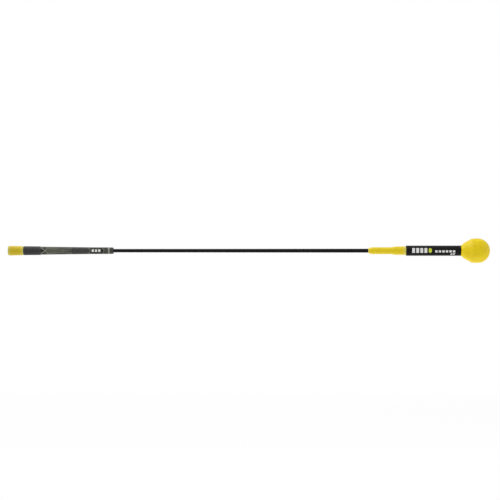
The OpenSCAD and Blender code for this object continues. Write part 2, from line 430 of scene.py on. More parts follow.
@dataclass(frozen=True)
class DrawnFinish(Finish):
    """A drawn rod: its colour and its grain run in long streaks.

    Attributes:
        draw: How many times longer a streak is than it is wide.
    """

    draw: float = 40.0

    def place(self, tree: NodeTree) -> Socket:
        """Draws the coordinates out along the stick. See Finish.place."""
        place = super().place(tree)
        return add_node(
            tree, "ShaderNodeMapping", {"Vector": place, "Scale": (1.0 / self.draw, 1.0, 1.0)}
        ).outputs["Vector"]


@dataclass(frozen=True)
class TurnedFinish(Finish):
    """A turned or drawn surface with fine rings, a grain apart."""

    def height(self, tree: NodeTree, place: Socket) -> Socket:
        """Makes the tool's rings. See Finish.height."""
        return add_node(
            tree,
            "ShaderNodeTexWave",
            {"Vector": place, "Scale": per_metre(self.grain) * WAVE, "Distortion": 0.6},
            bands_direction="X",
        ).outputs["Fac"]


@dataclass(frozen=True)
class CrepeFinish(Finish):
    """A crepe paper tape, with two sets of ribs that cross, a grain apart."""

    def height(self, tree: NodeTree, place: Socket) -> Socket:
        """Makes the crossing ribs. See Finish.height."""
        ribs = [
            add_node(
                tree,
                "ShaderNodeTexWave",
                {"Vector": place, "Scale": per_metre(self.grain) * WAVE, "Distortion": 1.5},
                bands_direction=direction,
            ).outputs["Fac"]
            for direction in ("X", "DIAGONAL")
        ]
        return add_node(
            tree, "ShaderNodeMath", {0: ribs[0], 1: ribs[1]}, operation="MULTIPLY"
        ).outputs[0]


# ---------------------------------------------------------------- modelling


@dataclass(frozen=True)
class Corner:
    """A corner of a turned outline.

    Attributes:
        x: Place along the stick, in millimetres.
        radius: Distance from the stick's axis, in millimetres.
        rounding: How far the edge is rounded off, in millimetres.
    """

    x: float
    radius: float
    rounding: float = 0.0


def ring_edges(bm: BMesh, corner: Corner) -> list[bmesh.types.BMEdge]:
    """Finds the edges that run round the stick at a corner of a turned shape."""

    def at_corner(v: bmesh.types.BMVert) -> bool:
        """Tells whether a vertex lies on the corner's ring."""
        off_radius = abs(math.hypot(v.co.y, v.co.z) - corner.radius)
        return abs(v.co.x - corner.x) < NEAR and off_radius < NEAR

    return [e for e in bm.edges if all(at_corner(v) for v in e.verts)]


def turn(corners: Sequence[Corner], steps: int = TURN_STEPS, on_axis: bool = False) -> BMesh:
    """Turns an outline about the stick's axis, with a column of faces along the top.

    Args:
        corners: The outline's corners, in order.
        steps: Flats round the shape.
        on_axis: Whether the outline starts and ends on the axis, and so isn't joined up.

    Returns:
        The closed shape, with its corners rounded off.
    """
    bm = bmesh.new()
    verts = [bm.verts.new((c.x, -c.radius, 0.0)) for c in corners]
    pairs = list(zip(verts, verts[1:]))
    if not on_axis:
        pairs.append((verts[-1], verts[0]))
    for pair in pairs:
        bm.edges.new(pair)
    bmesh.ops.spin(
        bm,
        geom=bm.verts[:] + bm.edges[:],
        cent=(0.0, 0.0, 0.0),
        axis=(1.0, 0.0, 0.0),
        dvec=(0.0, 0.0, 0.0),
        angle=math.tau,
        steps=steps,
        use_merge=True,
    )
    bmesh.ops.remove_doubles(bm, verts=bm.verts, dist=WELD)
    half_step = Matrix.Rotation(math.pi / steps, 3, "X")
    bmesh.ops.rotate(bm, cent=(0.0, 0.0, 0.0), matrix=half_step, verts=bm.verts)
    bmesh.ops.recalc_face_normals(bm, faces=bm.faces)
    for corner in corners:
        if corner.rounding:
            bmesh.ops.bevel(
                bm,
                geom=ring_edges(bm, corner),
                offset=corner.rounding,
                offset_type="OFFSET",
                segments=ROUND_SEGMENTS,
                profile=0.5,
                affect="EDGES",
                material=-1,
            )
    return bm


def arc(
    centre: float, half_length: float, radius: float, start: float, end: float, steps: int
) -> list[Corner]:
    """Makes the corners of part of an ellipse whose centre lies on the axis.

    Args:
        centre: Place of the centre along the stick.
        half_length: The ellipse's half-length along the stick.
        radius: Its radius.
        start: Where the part starts along the stick.
        end: Where it ends along the stick.
        steps: Flats that it is made of.

    Returns:
        The corners from start to end, both included.
    """
    first = math.acos((start - centre) / half_length)
    last = math.acos((end - centre) / half_length)
    angles = [first + (last - first) * i / steps for i in range(steps + 1)]
    return [Corner(centre + half_length * math.cos(a), radius * math.sin(a)) for a in angles]


def spaced(start: float, end: float, pitch: float) -> list[float]:
    """Lists places from start to end, both included, about a pitch apart."""
    steps = max(1, round((end - start) / pitch))
    return [start + (end - start) * i / steps for i in range(steps + 1)]


def cut_across(bm: BMesh, places: Iterable[float]) -> None:
    """Cuts the shape across at places along the stick."""
    for x in places:
        bmesh.ops.bisect_plane(
            bm,
            geom=bm.verts[:] + bm.edges[:] + bm.faces[:],
            dist=SNAP,
            plane_co=(x, 0.0, 0.0),
            plane_no=(1.0, 0.0, 0.0),
        )


def press(bm: BMesh, faces: Sequence[BMFace], depth: float) -> list[BMFace]:
    """Presses faces of a round surface in towards the axis, with upright walls.

    Args:
        bm: The shape.
        faces: The faces to press.
        depth: How deep, in millimetres. A negative depth raises them.

    Returns:
        The pressed faces and their walls.
    """
    made = bmesh.ops.extrude_face_region(bm, geom=list(faces))["geom"]
    bmesh.ops.delete(bm, geom=list(faces), context="FACES")
    verts = [g for g in made if isinstance(g, bmesh.types.BMVert)]
    for v in verts:
        v.co -= Vector((0.0, v.co.y, v.co.z)).normalized() * depth
    return list({f for v in verts for f in v.link_faces})


def raise_parting_line(bm: BMesh, start: float, end: float, inside: float, height: float) -> None:
    """Raises the faint lines that the mould's two halves leave along the top and the bottom.

    Args:
        bm: A turned shape with a column of faces along the top.
        start: Where the lines start along the stick.
        end: Where they end.
        inside: Faces nearer to the axis than this stay as they are.
        height: How far the lines stand out.
    """
    middles = {f: f.calc_center_median() for f in bm.faces}
    line = [
        f
        for f, middle in middles.items()
        if start < middle.x < end and abs(middle.y) < NEAR and abs(middle.z) > inside
    ]
    press(bm, line, -height)


def settle(name: str, bm: BMesh) -> Object:
    """Turns a finished bmesh to an object in metres that sits at the origin.

    Args:
        name: The piece's name.
        bm: The shape in millimetres, which is freed.

    Returns:
        The object, linked to the scene.
    """
    bmesh.ops.scale(bm, vec=(MM, MM, MM), verts=bm.verts)
    mesh = bpy.data.meshes.new(name)
    bm.to_mesh(mesh)
    bm.free()
    mesh.shade_smooth()
    mesh.set_sharp_from_angle(angle=SHARP_ANGLE)
    obj = bpy.data.objects.new(name, mesh)
    bpy.context.scene.collection.objects.link(obj)
    flats = obj.modifiers.new("even_flats", "WEIGHTED_NORMAL")
    flats.keep_sharp = True
    return obj


# ---------------------------------------------------------------- sheets rolled round the stick


class GripMark(IntEnum):
    """What a face of the grip is. The number is its material's number too."""

    RUBBER = 0
    DARK = 1
    LINE = 2
    KNURL = 3
    TICK = 4
    GROOVE = 5


class SleeveMark(IntEnum):
    """What a face of the sleeve is. The number is its material's number too."""

    SLEEVE = 0
    WHITE_INK = 1
    BRIGHT_INK = 2


@dataclass(frozen=True)
class Patch:
    """A convex patch of a flat sheet.

    Attributes:
        corners: Its corners, anticlockwise, as (along, round) on the flat sheet in millimetres.
        mark: What its faces become.
    """

    corners: tuple[tuple[float, float], ...]
    mark: IntEnum

    def sides(self) -> Iterator[tuple[Vector, Vector]]:
        """Yields the two ends of each side."""
        points = [Vector((x, y, 0.0)) for x, y in self.corners]
        yield from zip(points, points[1:] + points[:1])

    def holds(self, point: Vector) -> bool:
        """Tells whether a point of the flat sheet lies in the patch."""
        return all((b - a).cross(point - a).z > 0.0 for a, b in self.sides())

    def box(self) -> tuple[Vector, Vector]:
        """Gives the lowest and the highest corner of the box round the patch."""
        xs, ys = zip(*self.corners)
        return Vector((min(xs), min(ys), 0.0)), Vector((max(xs), max(ys), 0.0))

    def cut(self, bm: BMesh) -> None:
        """Cuts the patch's sides into the faces of the flat sheet that they cross."""
        low, high = self.box()
        for a, b in self.sides():
            near = {
                f
                for v in bm.verts
                if low.x - CUT_MARGIN < v.co.x < high.x + CUT_MARGIN
                and low.y - CUT_MARGIN < v.co.y < high.y + CUT_MARGIN
                for f in v.link_faces
            }
            faces = [f for f in near if crosses(f, a, b)]
            edges = {e for f in faces for e in f.edges}
            verts = {v for f in faces for v in f.verts}
            bmesh.ops.bisect_plane(
                bm,
                geom=[*verts, *edges, *faces],
                dist=SNAP,
                plane_co=a,
                plane_no=(b - a).cross(Vector((0.0, 0.0, 1.0))).normalized(),
            )


def crosses(face: BMFace, a: Vector, b: Vector) -> bool:
    """Tells whether a face of the flat sheet meets the upright box round a side from a to b."""
    xs = [v.co.x for v in face.verts]
    ys = [v.co.y for v in face.verts]
    along = min(xs) < max(a.x, b.x) + NEAR and max(xs) > min(a.x, b.x) - NEAR
    across = min(ys) < max(a.y, b.y) + NEAR and max(ys) > min(a.y, b.y) - NEAR
    return along and across


def bar(x: float, x_end: float, low: float, high: float, mark: IntEnum) -> Patch:
    """Makes a square-cornered patch between two places along and two places round."""
    return Patch(((x, low), (x_end, low), (x_end, high), (x, high)), mark)


def stroke(
    start: tuple[float, float], end: tuple[float, float], width: float, mark: IntEnum
) -> Patch:
    """Makes a straight line of even width that runs half a width past both its ends."""
    a, b = Vector(start), Vector(end)
    along = (b - a).normalized() * width / 2
    side = Vector((-along.y, along.x))
    a -= along
    b += along
    return Patch(tuple(tuple(p) for p in (a - side, b - side, b + side, a + side)), mark)


@dataclass
class RolledSheet:
    """A flat sheet that is marked out, rolled round the stick and closed by a bore.

    Attributes:
        start: Where the sheet starts along the stick, in millimetres.
        end: Where it ends.
        pitch_radius: Radius at which the flat sheet has its true width.
        stations: Places along the stick where the sheet is cut across.
        columns: Flats round the stick.
        bm: The sheet's mesh.
    """

    start: float
    end: float
    pitch_radius: float
    stations: Sequence[float]
    columns: int = TURN_STEPS
    bm: BMesh = field(default_factory=bmesh.new)

    def __post_init__(self) -> None:
        """Lays the flat sheet out, with its cuts across and its layer of marks."""
        self.marks = self.bm.faces.layers.int.new("mark")
        bmesh.ops.create_grid(self.bm, x_segments=1, y_segments=self.columns, size=1.0)
        sizes = ((self.end - self.start) / 2, math.pi * self.pitch_radius, 1.0)
        bmesh.ops.scale(self.bm, vec=sizes, verts=self.bm.verts)
        middle = ((self.start + self.end) / 2, 0.0, 0.0)
        bmesh.ops.translate(self.bm, vec=middle, verts=self.bm.verts)
        cut_across(self.bm, self.stations)

    def across(self, degrees: float) -> float:
        """Turns an angle round the stick to a place across the flat sheet."""
        return math.radians(degrees) * self.pitch_radius

    def degrees(self, place: Vector) -> float:
        """Turns a place on the flat sheet to its angle round the stick."""
        return math.degrees(place.y / self.pitch_radius)

    def mark_where(self, rule: Callable[[Vector], bool], mark: IntEnum) -> None:
        """Marks every face whose middle keeps a rule."""
        for f in self.bm.faces:
            if rule(f.calc_center_median()):
                f[self.marks] = mark

    def cut(self, patches: Sequence[Patch]) -> None:
        """Cuts patches' outlines into the sheet."""
        for patch in patches:
            patch.cut(self.bm)

    def mark_patches(self, patches: Sequence[Patch]) -> None:
        """Marks the faces that lie in patches whose outlines are cut already."""
        middles = [(f, f.calc_center_median()) for f in self.bm.faces]
        for patch in patches:
            low, high = patch.box()
            for f, p in middles:
                if low.x < p.x < high.x and low.y < p.y < high.y and patch.holds(p):
                    f[self.marks] = patch.mark

    def roll(self, radius_at: Callable[[float], float]) -> None:
        """Rolls the sheet round the stick and welds its seam, which faces +Y.

        Args:
            radius_at: Gives the surface's radius at a place along the stick.
        """
        for v in self.bm.verts:
            angle = v.co.y / self.pitch_radius
            radius = radius_at(v.co.x)
            v.co = Vector((v.co.x, -radius * math.cos(angle), radius * math.sin(angle)))
        bmesh.ops.remove_doubles(self.bm, verts=self.bm.verts, dist=WELD)

    def marked(self, *marks: IntEnum) -> list[BMFace]:
        """Finds the faces with any of some marks."""
        return [f for f in self.bm.faces if f[self.marks] in marks]

    def press_marked(self, depth: float, *marks: IntEnum) -> None:
        """Presses the faces with any of some marks in, and gives the walls the first mark."""
        before = {f: f[self.marks] for f in self.marked(*marks)}
        kept = set(before.values())
        for f in press(self.bm, list(before), depth):
            if f[self.marks] not in kept:
                f[self.marks] = marks[0]

    def close(self, first: Sequence[Corner], last: Sequence[Corner]) -> None:
        """Closes the tube: draws each rim through its corners, and joins the two by the bore.

        Args:
            first: Corners that the rim at the start is drawn through, in order.
            last: Corners that the rim at the end is drawn through, in order.
        """
        middle = (self.start + self.end) / 2
        inner = []
        for corners, at_start in ((first, True), (last, False)):
            rim = [
                e
                for e in self.bm.edges
                if e.is_boundary and (e.verts[0].co.x < middle) == at_start
            ]
            for corner in corners:
                made = bmesh.ops.extrude_edge_only(self.bm, edges=rim)["geom"]
                rim = [g for g in made if isinstance(g, bmesh.types.BMEdge)]
                for v in {v for e in rim for v in e.verts}:
                    out = Vector((0.0, v.co.y, v.co.z)).normalized()
                    v.co = Vector((corner.x, 0.0, 0.0)) + out * corner.radius
            inner.extend(rim)
        bmesh.ops.bridge_loops(self.bm, edges=inner)
        bmesh.ops.recalc_face_normals(self.bm, faces=self.bm.faces)

    def number_materials(self) -> None:
        """Gives every face the material that its mark asks for."""
        for f in self.bm.faces:
            f.material_index = f[self.marks]


# ---------------------------------------------------------------- finishes


# Soft mustard rubber: satin and slightly uneven. Its edges are painted paler, in patches, as a
# painted highlight
CAP_FINISH = PaleEdgeFinish(
    name="thermoplastic_rubber_moulded_mustard",
    colour="d2bb20",
    drift="c8ae1b",
    patch=9.0,
    grain=0.5,
    relief=0.006,
    smooth=0.42,
    dull=0.6,
    pale_edge="d3d585",
    edges=reach("butt_cap").edges(9.0, 8.0),
    shine=0.25,
)
# Dense black rubber with a fine matt tooth: it greys softly under a broad light
COLLAR_FINISH = PaleEdgeFinish(
    name="natural_rubber_moulded_matt_black",
    colour="333333",
    drift="2c2c2c",
    patch=7.0,
    grain=0.45,
    relief=0.008,
    smooth=0.5,
    dull=0.68,
    pale_edge="6a6a68",
    edges=reach("grip_collar").edges(2.0, 2.0),
    shine=0.25,
)
# Grip rubber between the patterns: matt, and slightly dusty from the moulding talc
GRIP_FINISH = Finish(
    name="natural_rubber_moulded_grip",
    colour="3f3f3e",
    drift="383837",
    patch=6.0,
    grain=0.4,
    relief=0.008,
    smooth=0.55,
    dull=0.75,
    shine=0.25,
)
# The ground of the pattern and the dark band: the same rubber in a deeper mix
DARK_FINISH = Finish(
    name="natural_rubber_moulded_deep_black",
    colour="252620",
    drift="1d1e19",
    patch=5.0,
    grain=0.4,
    relief=0.008,
    smooth=0.5,
    dull=0.7,
    shine=0.25,
)
# Paint that is wiped into the engraved lines: pale, chalky, and a little thin in places
LINE_FINISH = Finish(
    name="wiped_in_enamel_pale_grey",
    colour="b4b5a6",
    drift="8f907f",
    patch=2.5,
    grain=0.3,
    relief=0.005,
    smooth=0.5,
    dull=0.7,
    shine=0.3,
)
# Knurled rubber: greener and dustier, and it fades towards the plain stretch of the grip
KNURL_FINISH = GradedFinish(
    name="natural_rubber_moulded_knurled",
    colour="6b6c5f",
    drift="5a5b50",
    patch=8.0,
    grain=0.35,
    relief=0.01,
    smooth=0.6,
    dull=0.8,
    far="4d4e48",
    change=(118.0, 164.0),
    shine=0.25,
)
# Pad-printed ink on the grip: white, flat, and a little uneven at its rim
TICK_FINISH = Finish(
    name="pad_printed_ink_white",
    colour="f2f2ee",
    drift="dcdcd6",
    patch=2.0,
    grain=0.3,
    relief=0.003,
    smooth=0.4,
    dull=0.55,
)
# The pale inlaid ring: moulded nylon with a soft shine
RING_FINISH = Finish(
    name="nylon_moulded_pale_grey",
    colour="96978b",
    drift="828377",
    patch=4.0,
    grain=0.4,
    relief=0.004,
    smooth=0.35,
    dull=0.5,
    shine=0.3,
)
# Drawn glass fibre in black resin: long faint streaks under a glossy skin. They are drawn
# coarser than the real fibres, which are about 0.02 mm thick, so that they show
ROD_FINISH = DrawnFinish(
    name="glass_fibre_drawn_black_resin",
    colour="0c0c0c",
    drift="070708",
    patch=0.6,
    grain=0.3,
    relief=0.001,
    smooth=0.2,
    dull=0.3,
    shine=0.1,
)
# Moulded vinyl of the neck: bright and half glossy. Its two edges are painted paler, in patches,
# as a painted highlight
NECK_FINISH = PaleEdgeFinish(
    name="vinyl_moulded_half_gloss_yellow",
    colour="efd51a",
    drift="e6cb14",
    patch=14.0,
    grain=0.6,
    relief=0.002,
    smooth=0.34,
    dull=0.44,
    pale_edge="dfe39a",
    edges=reach("neck").edges(3.0, 11.0),
    shine=0.25,
)
# Shrunk vinyl over the weight: black satin with a faint orange-peel skin
SLEEVE_FINISH = Finish(
    name="shrunk_vinyl_satin_black",
    colour="0f0f0f",
    drift="0a0a0b",
    patch=10.0,
    grain=1.4,
    relief=0.003,
    smooth=0.3,
    dull=0.42,
    shine=0.12,
)
# Screen-printed ink: opaque and smoother than the sleeve round it
WHITE_INK = Finish(
    name="screen_printed_ink_white",
    colour="f6f6f4",
    drift="e8e8e5",
    patch=3.0,
    grain=0.4,
    relief=0.002,
    smooth=0.3,
    dull=0.42,
)
BRIGHT_INK = Finish(
    name="screen_printed_ink_yellow_green",
    colour="d9e63c",
    drift="c8d62e",
    patch=3.0,
    grain=0.4,
    relief=0.002,
    smooth=0.3,
    dull=0.42,
)
# Soft vinyl of the ball: deep yellow, waxy, and lightly scuffed
BALL_FINISH = Finish(
    name="soft_vinyl_moulded_waxy_yellow",
    colour="f6db12",
    drift="ecce10",
    patch=16.0,
    grain=0.7,
    relief=0.002,
    smooth=0.42,
    dull=0.54,
    shine=0.25,
)
# Crepe paper tape under the grip: cream, fibrous and dull
TAPE_FINISH = CrepeFinish(
    name="crepe_paper_tape_cream",
    colour="d8ceb0",
    drift="c4b892",
    patch=3.0,
    grain=0.9,
    relief=0.05,
    smooth=0.75,
    dull=0.9,
)
# Extruded ABS of the build-up sleeve: grey, with faint drag rings from the die's sizing plates
BUILD_UP_FINISH = TurnedFinish(
    name="abs_extruded_grey",
    colour="8b8d8f",
    drift="7c7e80",
    patch=8.0,
    grain=1.2,
    relief=0.01,
    smooth=0.4,
    dull=0.55,
)
# Free-cutting steel of the weight: turned, with the tool's rings left on it. They are drawn
# coarser than a real feed of about 0.15 mm, so that they show
WEIGHT_FINISH = TurnedFinish(
    name="free_cutting_steel_turned",
    colour="b9b8b4",
    drift="a3a19c",
    patch=10.0,
    grain=0.4,
    relief=0.012,
    smooth=0.28,
    dull=0.42,
    metallic=1.0,
)
# Spring steel of the cross pins: oiled, dark and drawn smooth
PIN_FINISH = TurnedFinish(
    name="spring_steel_oil_blackened",
    colour="4a4946",
    drift="3b3a38",
    patch=2.0,
    grain=0.6,
    relief=0.006,
    smooth=0.3,
    dull=0.45,
    metallic=1.0,
)


# ---------------------------------------------------------------- sub-assemblies


@dataclass
class SubAssembly(ABC):
    """A part of the stick that models its pieces and dresses them.

    Attributes:
        pieces: The pieces made so far.
    """

    pieces: list[Object] = field(default_factory=list, init=False)

    @abstractmethod
    def build(self) -> None:
        """Models the pieces and sets them on their bodies."""

    @abstractmethod
    def dress(self) -> None:
        """Gives the pieces their finishes."""

    def note(self, piece: Object, slot: str, *nodes: str) -> None:
        """Hides a piece's CAD nodes, and keeps the piece for dress()."""
        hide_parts(*nodes)
        self.pieces.append(piece)

    def coat(self, *finishes: Finish) -> None:
        """Gives every piece the same finishes, in the order of its material numbers."""
        materials = [finish.build() for finish in finishes]
        for piece in self.pieces:
            for material in materials:
                piece.data.materials.append(material)

    def report(self) -> None:
        """Logs every piece."""
        for piece in self.pieces:
            log.info("%s: %s, %d faces", type(self).__name__, piece.name, len(piece.data.polygons))


@dataclass
class ButtCap(SubAssembly):
    """The yellow cup over the butt of the grip, with a dished end, a vent and a front lip."""

    edge_rounding: float = 2.5
    rim_rounding: float = 0.6
    bore_radius: float = 9.34
    end_wall: float = 4.0
    vent_radius: float = 1.6
    dish_radius: float = 7.4
    dish_depth: float = 0.5
    lip_width: float = 2.8
    groove_width: float = 0.7
    groove_depth: float = 0.3
    parting_height: float = 0.07

    def build(self) -> None:
        """Turns the cup and raises its parting line."""
        cap = reach("butt_cap")
        front = cad_radius("butt_cap", cap.end - self.rim_rounding)
        lip = cap.end - self.lip_width
        groove = lip - self.groove_width
        lip_radius = front + (cap.radius - front) * self.lip_width / (cap.end - cap.start)
        dish = cap.start + self.dish_depth
        corners = [
            Corner(dish, self.vent_radius, SOFT_ROUNDING),
            Corner(dish, self.dish_radius - self.dish_depth, FINE_ROUNDING),
            Corner(cap.start, self.dish_radius, FINE_ROUNDING),
            Corner(cap.start, cap.radius, self.edge_rounding),
            Corner(groove, lip_radius),
            Corner(groove + self.groove_width / 2, lip_radius - self.groove_depth),
            Corner(lip, lip_radius, FINE_ROUNDING),
            Corner(cap.end, front, self.rim_rounding),
            Corner(cap.end, self.bore_radius),
            Corner(self.end_wall, self.bore_radius),
            Corner(self.end_wall, self.vent_radius),
        ]
        bm = turn(corners)
        raise_parting_line(bm, self.edge_rounding, groove, self.bore_radius, self.parting_height)
        piece = settle("cap_shell", bm)
        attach(piece, "grip")
        self.note(piece, "cap_rubber", "butt_cap")

    def dress(self) -> None:
        """Dresses the cup in mustard rubber."""
        self.coat(CAP_FINISH)


@dataclass
class Collar(SubAssembly):
    """The plain dark ring in front of the cap."""

    bore_radius: float = 9.34
    edge_rounding: float = 0.6
    parting_height: float = 0.06
    parting_margin: float = 1.0

    def build(self) -> None:
        """Turns the ring and raises its parting line."""
        collar = reach("grip_collar")
        back = cad_radius("grip_collar", collar.start + self.edge_rounding)
        front = cad_radius("grip_collar", collar.end - self.edge_rounding)
        corners = [
            Corner(collar.start, self.bore_radius),
            Corner(collar.start, back, self.edge_rounding),
            Corner(collar.end, front, self.edge_rounding),
            Corner(collar.end, self.bore_radius),
        ]
        bm = turn(corners)
        start, end = collar.start + self.parting_margin, collar.end - self.parting_margin
        raise_parting_line(bm, start, end, self.bore_radius, self.parting_height)
        piece = settle("collar_ring", bm)
        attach(piece, "grip")
        self.note(piece, "collar_rubber", "grip_collar")

    def dress(self) -> None:
        """Dresses the ring in black rubber."""
        self.coat(COLLAR_FINISH)


@dataclass
class GripBody(SubAssembly):
    """The rubber grip: crossing lines at its thick end, knurled leaves, and a dark band.

    The pattern is marked out on a flat sheet, which is then rolled round the stick.
    """

    # Bore, and the tube that carries the cap and the collar
    tube_start: float = 4.3
    tube_radius: float = 9.29
    bore_back_radius: float = 7.89
    bore_mouth_radius: float = 6.64
    edge_break: float = 0.6
    collar_gap: float = 0.3
    # Outside: a taper to the waist, a straight stretch, and a mouth that narrows ever faster
    waist: float = 202.0
    mouth_length: float = 8.7
    mouth_wall: float = 0.95
    mouth_power: float = 2.1
    ring_groove_depth: float = 0.7
    # Crossing lines: the crossings stand this many degrees apart
    tooth: float = 90.0
    crossing: float = 95.3
    lattice_end: float = 101.5
    lattice_line: float = 1.25
    lattice_front_line: float = 0.5
    # Leaves between the crossings, and the vein between two leaves
    leaf_middle: float = 138.0
    leaf_end: float = 162.3
    leaf_spread: float = 19.0
    leaf_line: float = 0.6
    vein: tuple[float, float] = (136.0, 156.0)
    # Dark band with the hand marks
    band: tuple[float, float] = (204.5, 239.5)
    band_point: float = 4.5
    band_line: float = 0.8
    tick_start: float = 212.0
    tick_count: int = 3
    tick_pitch: float = 8.2
    tick_width: float = 5.6
    tick_height: float = 6.6
    # Knurl: every other cell of each field is a pit
    knurl_fields: tuple[tuple[float, float], ...] = (
        (95.3, 162.3),
        (245.6, 251.6),
        (258.0, 263.0),
    )
    knurl_pitch: float = 1.0
    pit_margin: float = 0.13
    pit_depth: float = 0.2
    # A cell with at least this share of its full area has no line through it
    whole_cell: float = 0.9
    # Depths of the pattern
    ground_depth: float = 0.12
    line_depth: float = 0.16
    tick_rise: float = 0.06
    # Distance between two cuts across where there is no knurl
    coarse_pitch: float = 2.4
    mouth_pitch: float = 0.6
    # Read from the frame in build()
    start: float = field(init=False)
    end: float = field(init=False)
    mouth: float = field(init=False)
    back_radius: float = field(init=False)
    waist_radius: float = field(init=False)
    front_radius: float = field(init=False)
    sheet: RolledSheet = field(init=False)

    def build(self) -> None:
        """Marks the sheet out, rolls it, presses its pattern in and closes it by the bore."""
        body = reach("grip_body")
        ring = reach("grip_ring")
        back = reach("grip_collar").end + self.collar_gap
        self.start, self.end = back + self.edge_break, body.end
        self.mouth = self.end - self.mouth_length
        self.back_radius = cad_radius("grip_body", self.start)
        self.waist_radius = cad_radius("grip_body", self.waist)
        self.front_radius = cad_radius("grip_body", self.mouth)
        self.sheet = RolledSheet(
            self.start, self.end, self.waist_radius, self.stations(ring.start, ring.end)
        )
        self.mark_out(ring.start, ring.end)
        self.sheet.roll(self.radius_at)
        self.press_in()
        self.sheet.close(
            [
                Corner(back, self.back_radius - self.edge_break),
                Corner(back, self.tube_radius),
                Corner(self.tube_start + self.edge_break, self.tube_radius),
                Corner(self.tube_start, self.tube_radius - self.edge_break),
                Corner(self.tube_start, self.bore_back_radius),
            ],
            [Corner(self.end, self.bore_mouth_radius)],
        )
        self.sheet.number_materials()
        piece = settle("grip_rubber_body", self.sheet.bm)
        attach(piece, "grip")
        self.note(piece, "grip_rubber", "grip_body")

    def radius_at(self, x: float) -> float:
        """Gives the grip's outer radius at a place along the stick."""
        if x < self.waist:
            share = (x - self.start) / (self.waist - self.start)
            return self.back_radius + (self.waist_radius - self.back_radius) * share
        if x < self.mouth:
            share = (x - self.waist) / (self.mouth - self.waist)
            return self.waist_radius + (self.front_radius - self.waist_radius) * share
        share = ((x - self.mouth) / self.mouth_length) ** self.mouth_power
        lip_radius = self.bore_mouth_radius + self.mouth_wall
        return self.front_radius + (lip_radius - self.front_radius) * share

    def stations(self, ring_start: float, ring_end: float) -> list[float]:
        """Lists the places where the sheet is cut across, close together in the knurl.

        Args:
            ring_start: Where the inlaid ring's groove starts.
            ring_end: Where it ends.

        Returns:
            The places along the stick, in order.
        """
        long_field, back_field, front_field = self.knurl_fields
        stretches = [
            (self.start, long_field[0], self.coarse_pitch),
            (*long_field, self.knurl_pitch),
            (long_field[1], back_field[0], self.coarse_pitch),
            (*back_field, self.knurl_pitch),
            (back_field[1], ring_start, self.coarse_pitch),
            (ring_start, ring_end, self.coarse_pitch),
            (ring_end, front_field[0], self.coarse_pitch),
            (*front_field, self.knurl_pitch),
            (front_field[1], self.end, self.mouth_pitch),
        ]
        return sorted({x for stretch in stretches for x in spaced(*stretch)})

    def swing(self, degrees: float) -> float:
        """Gives how far an angle is from the nearest crossing: 0 on it, 1 halfway to the next."""
        turns = (degrees / self.tooth) % 1.0
        return 2.0 * min(turns, 1.0 - turns)

    def in_leaf(self, x: float, degrees: float) -> bool:
        """Tells whether a place lies inside a leaf's outline."""
        if x < self.leaf_middle:
            share = (x - self.lattice_end) / (self.leaf_middle - self.lattice_end)
        else:
            share = (self.leaf_end - x) / (self.leaf_end - self.leaf_middle)
        return (1.0 - self.swing(degrees)) * self.tooth / 2 < self.leaf_spread * share

    def mark_out(self, ring_start: float, ring_end: float) -> None:
        """Marks the pattern on the flat sheet.

        Args:
            ring_start: Where the inlaid ring's groove starts.
            ring_end: Where it ends.
        """
        sheet = self.sheet
        behind = self.crossing - self.start

        def is_knurled(p: Vector) -> bool:
            """Tells whether a place is in a knurled field and outside the leaves."""
            in_field = any(start < p.x < end for start, end in self.knurl_fields)
            return in_field and not self.in_leaf(p.x, sheet.degrees(p))

        def is_ground(p: Vector) -> bool:
            """Tells whether a place is in the dark ground behind the crossing lines."""
            return p.x < self.crossing - behind * self.swing(sheet.degrees(p))

        def is_band(p: Vector) -> bool:
            """Tells whether a place is in the dark band."""
            point = self.band_point * (1.0 - self.swing(sheet.degrees(p)))
            return self.band[0] + point < p.x < self.band[1] + point

        patches = self.lines() + self.ticks()
        sheet.cut(patches)
        sheet.mark_where(is_knurled, GripMark.KNURL)
        sheet.mark_where(is_ground, GripMark.DARK)
        sheet.mark_where(is_band, GripMark.DARK)
        sheet.mark_where(lambda p: ring_start < p.x < ring_end, GripMark.GROOVE)
        sheet.mark_patches(patches)

    def lines(self) -> list[Patch]:
        """Lists the painted lines: the crossings, the leaves, the veins and the band's edges."""
        across = self.sheet.across
        half = self.tooth / 2
        lines = []
        for at in (self.tooth * i for i in range(-2, 3)):
            lines.append(self.line((self.vein[0], at), (self.vein[1], at), self.leaf_line))
            for side in (-half, half):
                far = at + side
                back, front = (self.start, far), (self.lattice_end, far)
                lines.append(self.line(back, (self.crossing, at), self.lattice_line))
                lines.append(self.line((self.crossing, at), front, self.lattice_front_line))
                widest = (self.leaf_middle, far - math.copysign(self.leaf_spread, side))
                lines.append(self.line(front, widest, self.leaf_line))
                lines.append(self.line(widest, (self.leaf_end, far), self.leaf_line))
                for edge in self.band:
                    point = (edge + self.band_point, at)
                    lines.append(self.line((edge, far), point, self.band_line))
        limit = across(180.0)
        return [p for p in lines if min(abs(y) for _, y in p.corners) < limit]

    def line(
        self, start: tuple[float, float], end: tuple[float, float], width: float
    ) -> Patch:
        """Makes a painted line between two places, each given along and in degrees round."""
        across = self.sheet.across
        flat_start, flat_end = (start[0], across(start[1])), (end[0], across(end[1]))
        return stroke(flat_start, flat_end, width, GripMark.LINE)

    def ticks(self) -> list[Patch]:
        """Lists the hand marks, a row of plain upright bars on the side that faces -Y."""
        starts = [self.tick_start + self.tick_pitch * i for i in range(self.tick_count)]
        half = self.tick_height / 2
        return [bar(x, x + self.tick_width, -half, half, GripMark.TICK) for x in starts]

